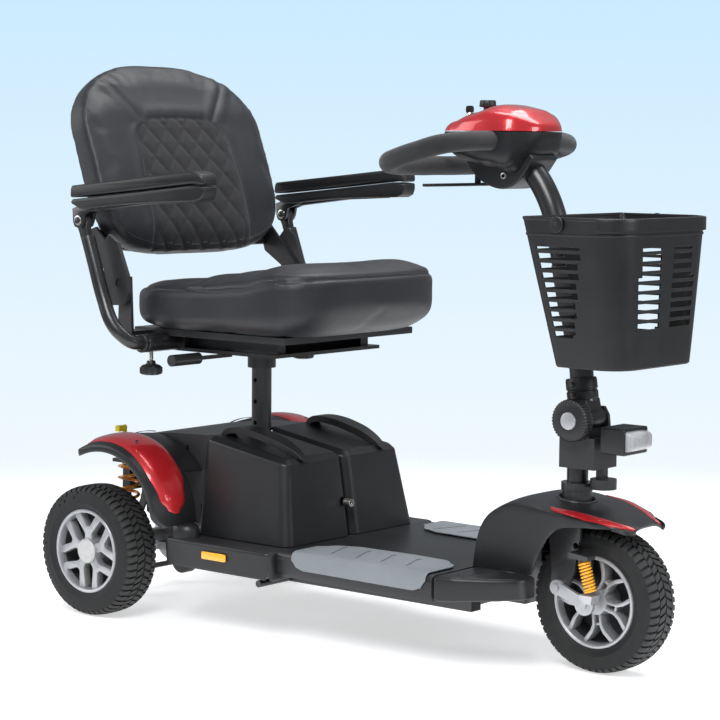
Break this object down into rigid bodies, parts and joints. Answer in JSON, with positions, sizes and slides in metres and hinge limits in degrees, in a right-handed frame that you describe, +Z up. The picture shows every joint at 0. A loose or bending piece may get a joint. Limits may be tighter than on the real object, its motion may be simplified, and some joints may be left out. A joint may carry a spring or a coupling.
{
  "type": "mobility scooter",
  "caption": "Compact travel mobility scooter with swivel seat, folding backrest, flip-up armrests, tilting tiller, lift-off basket and sprung wheels.",
  "frame": {"origin": "on the ground, midway between the front and rear axles, in the middle of the width", "axes": "+X forward, +Y to the rider's left, +Z up"},
  "size_m": [1.139, 0.57, 0.9669],
  "materials": {
    "black_steel": "satin powder coat",
    "charcoal_plastic": "fine textured",
    "grey_pad": "matt ribbed",
    "amber_lens": "glossy",
    "candy_red": "high gloss metallic",
    "bare_aluminium": "satin cast",
    "zinc_steel": "satin",
    "battery_case": "satin",
    "tyre_rubber": "matt",
    "roller_rubber": "matt",
    "yellow_plastic": "satin",
    "spring_amber": "gloss",
    "spring_yellow": "gloss",
    "seat_vinyl": "grained vinyl",
    "moulded_black": "satin",
    "foam_grip": "soft foam",
    "lens_clear": "clear",
    "red_plastic": "gloss"
  },
  "bodies": {
    "chassis": {"main_frame": "black_steel", "base_tray": "charcoal_plastic", "deck_panel": "charcoal_plastic", "deck_nose": "charcoal_plastic", "foot_pads": "grey_pad", "side_reflectors": "amber_lens", "rear_cover": "charcoal_plastic", "rear_fenders": "charcoal_plastic", "red_panels": "candy_red", "front_fender": "charcoal_plastic", "controller": "bare_aluminium", "anti_tip_brackets": "black_steel", "rear_springs": "spring_amber"},
    "battery_right": {"battery_shell_right": "charcoal_plastic", "battery_cells_right": "battery_case", "charger_port": "zinc_steel"},
    "battery_left": {"battery_shell_left": "charcoal_plastic", "battery_cells_left": "battery_case"},
    "drive_unit": {"transaxle": "bare_aluminium", "drive_motor": "black_steel"},
    "rear_wheel_right": {"rear_tyre_right": "tyre_rubber", "rear_rim_right": "bare_aluminium"},
    "rear_wheel_left": {"rear_tyre_left": "tyre_rubber", "rear_rim_left": "bare_aluminium"},
    "anti_tip_wheels": {"anti_tip_rollers": "roller_rubber"},
    "freewheel": {"freewheel_lever": "yellow_plastic"},
    "post": {"seat_post": "black_steel"},
    "seat": {"seat_pan": "black_steel", "seat_cushion": "seat_vinyl"},
    "swivel_handle": {"swivel_lever": "moulded_black"},
    "backrest": {"back_frame": "moulded_black", "back_cushion": "seat_vinyl", "back_covers": "moulded_black"},
    "arm_right": {"arm_tube_right": "black_steel"},
    "arm_left": {"arm_tube_left": "black_steel"},
    "armrest_right": {"arm_pad_right": "moulded_black"},
    "armrest_left": {"arm_pad_left": "moulded_black"},
    "knob_right": {"clamp_knob_right": "moulded_black"},
    "knob_left": {"clamp_knob_left": "moulded_black"},
    "steering": {"steering_stem": "black_steel", "steering_fork": "black_steel", "stem_bracket": "moulded_black", "headlight_housing": "moulded_black", "headlight_lens": "lens_clear", "front_springs": "spring_yellow"},
    "front_arm": {"swing_arm": "bare_aluminium"},
    "front_wheel": {"front_tyre": "tyre_rubber", "front_rim": "bare_aluminium"},
    "tiller": {"tiller_tube": "black_steel", "head_shell": "charcoal_plastic", "head_cover": "candy_red", "handlebar": "foam_grip"},
    "tilt_clamp": {"tilt_knob": "moulded_black"},
    "ignition_key": {"key": "zinc_steel"},
    "speed_dial": {"speed_knob": "moulded_black"},
    "horn": {"horn_button": "red_plastic"},
    "throttle": {"throttle_lever": "moulded_black"},
    "basket": {"basket": "moulded_black"},
    "basket_bail": {"basket_handle": "moulded_black"}
  },
  "joints": [
    {"name": "battery_lift_right", "type": "slide", "parent": "chassis", "child": "battery_right", "axis": [0, 0, 1], "range_m": [0, 0.08]},
    {"name": "battery_lift_left", "type": "slide", "parent": "chassis", "child": "battery_left", "axis": [0, 0, 1], "range_m": [0, 0.08]},
    {"name": "rear_suspension", "type": "hinge", "parent": "chassis", "child": "drive_unit", "pos_m": [-0.262, 0, 0.103], "axis": [0, 1, 0], "range_deg": [0, 4.5], "stiffness_Nm_per_rad": 1500, "springref_deg": -4.58, "deforming": ["rear_springs"]},
    {"name": "rear_wheel_right_spin", "type": "hinge", "parent": "drive_unit", "child": "rear_wheel_right", "pos_m": [-0.455, -0.2245, 0.1145], "axis": [0, 1, 0], "continuous": true},
    {"name": "rear_wheel_left_spin", "type": "hinge", "parent": "drive_unit", "child": "rear_wheel_left", "pos_m": [-0.455, 0.2245, 0.1145], "axis": [0, 1, 0], "continuous": true},
    {"name": "anti_tip_spin", "type": "hinge", "parent": "chassis", "child": "anti_tip_wheels", "pos_m": [-0.541, 0, 0.042], "axis": [0, 1, 0], "continuous": true},
    {"name": "freewheel_lever_turn", "type": "hinge", "parent": "chassis", "child": "freewheel", "pos_m": [-0.484, -0.13, 0.256], "axis": [0, -1, 0], "range_deg": [0, 35]},
    {"name": "seat_height", "type": "slide", "parent": "chassis", "child": "post", "axis": [0, 0, 1], "range_m": [0, 0.04]},
    {"name": "seat_swivel", "type": "hinge", "parent": "post", "child": "seat", "pos_m": [-0.274, 0, 0.45], "axis": [0, 0, 1], "range_deg": [-90, 90]},
    {"name": "swivel_lever_turn", "type": "hinge", "parent": "seat", "child": "swivel_handle", "pos_m": [-0.29, -0.08, 0.456], "axis": [0, 0, 1], "range_deg": [0, 15], "stiffness_Nm_per_rad": 1, "springref_deg": -5.73},
    {"name": "backrest_fold", "type": "hinge", "parent": "seat", "child": "backrest", "pos_m": [-0.395, 0, 0.585], "axis": [0, 1, 0], "range_deg": [0, 85]},
    {"name": "arm_width_right", "type": "slide", "parent": "seat", "child": "arm_right", "axis": [0, -1, 0], "range_m": [0, 0.03]},
    {"name": "arm_width_left", "type": "slide", "parent": "seat", "child": "arm_left", "axis": [0, 1, 0], "range_m": [0, 0.03]},
    {"name": "armrest_flip_right", "type": "hinge", "parent": "arm_right", "child": "armrest_right", "pos_m": [-0.45, -0.2625, 0.692], "axis": [0, -1, 0], "range_deg": [0, 90]},
    {"name": "armrest_flip_left", "type": "hinge", "parent": "arm_left", "child": "armrest_left", "pos_m": [-0.45, 0.2625, 0.692], "axis": [0, -1, 0], "range_deg": [0, 90]},
    {"name": "clamp_knob_right_turn", "type": "hinge", "parent": "seat", "child": "knob_right", "pos_m": [-0.35, -0.2, 0.44], "axis": [0, 0, 1], "range_deg": [-180, 180]},
    {"name": "clamp_knob_left_turn", "type": "hinge", "parent": "seat", "child": "knob_left", "pos_m": [-0.35, 0.2, 0.44], "axis": [0, 0, 1], "range_deg": [-180, 180]},
    {"name": "steering_turn", "type": "hinge", "parent": "chassis", "child": "steering", "pos_m": [0.4, 0, 0.26], "axis": [0, 0, 1], "range_deg": [-40, 40]},
    {"name": "front_suspension", "type": "hinge", "parent": "steering", "child": "front_arm", "pos_m": [0.403, 0, 0.135], "axis": [0, -1, 0], "range_deg": [0, 7], "stiffness_Nm_per_rad": 300, "springref_deg": -3.44, "deforming": ["front_springs"]},
    {"name": "front_wheel_spin", "type": "hinge", "parent": "front_arm", "child": "front_wheel", "pos_m": [0.455, 0, 0.1145], "axis": [0, 1, 0], "continuous": true},
    {"name": "tiller_tilt", "type": "hinge", "parent": "steering", "child": "tiller", "pos_m": [0.42, 0, 0.4], "axis": [0, 1, 0], "range_deg": [-5, 12]},
    {"name": "tilt_knob_turn", "type": "hinge", "parent": "steering", "child": "tilt_clamp", "pos_m": [0.42, -0.046, 0.4], "axis": [0, 1, 0], "range_deg": [0, 180]},
    {"name": "key_turn", "type": "hinge", "parent": "tiller", "child": "ignition_key", "pos_m": [0.178, 0, 0.86], "axis": [0, 0, 1], "range_deg": [0, 60]},
    {"name": "speed_knob_turn", "type": "hinge", "parent": "tiller", "child": "speed_dial", "pos_m": [0.214, 0, 0.88], "axis": [0, 0, 1], "range_deg": [-135, 135]},
    {"name": "horn_press", "type": "slide", "parent": "tiller", "child": "horn", "axis": [1, 0, 0], "range_m": [0, 0.003], "stiffness_N_per_m": 400, "springref_m": -0.002},
    {"name": "throttle_squeeze", "type": "hinge", "parent": "tiller", "child": "throttle", "pos_m": [0.196, 0, 0.775], "axis": [0, 0, 1], "range_deg": [-15, 15], "stiffness_Nm_per_rad": 1},
    {"name": "basket_lift", "type": "slide", "parent": "tiller", "child": "basket", "axis": [0, 0, 1], "range_m": [0, 0.1]},
    {"name": "basket_handle_lift", "type": "hinge", "parent": "basket", "child": "basket_bail", "pos_m": [0.449, 0, 0.71], "axis": [0, -1, 0], "range_deg": [0, 90]}
  ]
}
